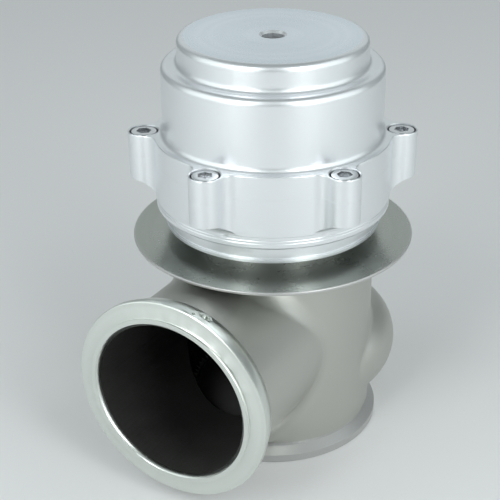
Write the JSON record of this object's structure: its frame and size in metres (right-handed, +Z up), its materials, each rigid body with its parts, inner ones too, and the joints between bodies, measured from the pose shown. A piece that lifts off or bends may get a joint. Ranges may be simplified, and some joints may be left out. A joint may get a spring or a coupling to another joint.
{
  "type": "turbo wastegate",
  "caption": "External turbo wastegate: cast valve body with V-band inlet and side outlet, heat shield and a diaphragm actuator whose cap screws sit in round lobes.",
  "frame": {"origin": "centre of the inlet V-band flange's lower face", "axes": "+Z up the valve axis to the cap, -Y out of the outlet, +X to the right seen from the outlet"},
  "size_m": [0.1072, 0.1352, 0.1584],
  "materials": {
    "cast_stainless": "bead-blasted cast stainless steel, flanges machined",
    "machined_stainless": "turned, satin",
    "heat_shield_steel": "rolled sheet, satin",
    "polished_aluminium": "turned and polished, clear anodised",
    "plain_aluminium": "as machined",
    "screw_steel": "bright zinc",
    "spring_steel": "oil blackened",
    "bronze": "turned",
    "silicone": "fabric-reinforced silicone",
    "seal_rubber": "matt",
    "graphite": "pressed graphite"
  },
  "bodies": {
    "body": {"valve_seat": "machined_stainless", "valve_body": "cast_stainless", "valve_guide": "bronze", "stem_seal": "graphite", "seal_retainer": "machined_stainless", "body_gasket": "graphite", "heat_shield": "heat_shield_steel", "spacer_ring": "machined_stainless", "base_collar": "polished_aluminium", "collar_oring": "seal_rubber", "lower_housing": "polished_aluminium", "stem_bush": "bronze", "base_washers": "screw_steel", "base_screws": "screw_steel", "diaphragm": "silicone", "outer_spring": "spring_steel", "middle_spring": "spring_steel", "inner_spring": "spring_steel", "spring_seat": "plain_aluminium", "cap": "polished_aluminium", "cap_screws": "screw_steel"},
    "valve_assembly": {"valve": "machined_stainless", "diaphragm_plate": "plain_aluminium", "piston": "plain_aluminium", "stem_washer": "screw_steel", "stem_nut": "screw_steel"}
  },
  "joints": [
    {"name": "valve_lift", "type": "slide", "parent": "body", "child": "valve_assembly", "axis": [0, 0, 1], "range_m": [0, 0.014], "stiffness_N_per_m": 9000, "springref_m": -0.012, "deforming": ["outer_spring", "middle_spring", "inner_spring", "diaphragm"]}
  ]
}
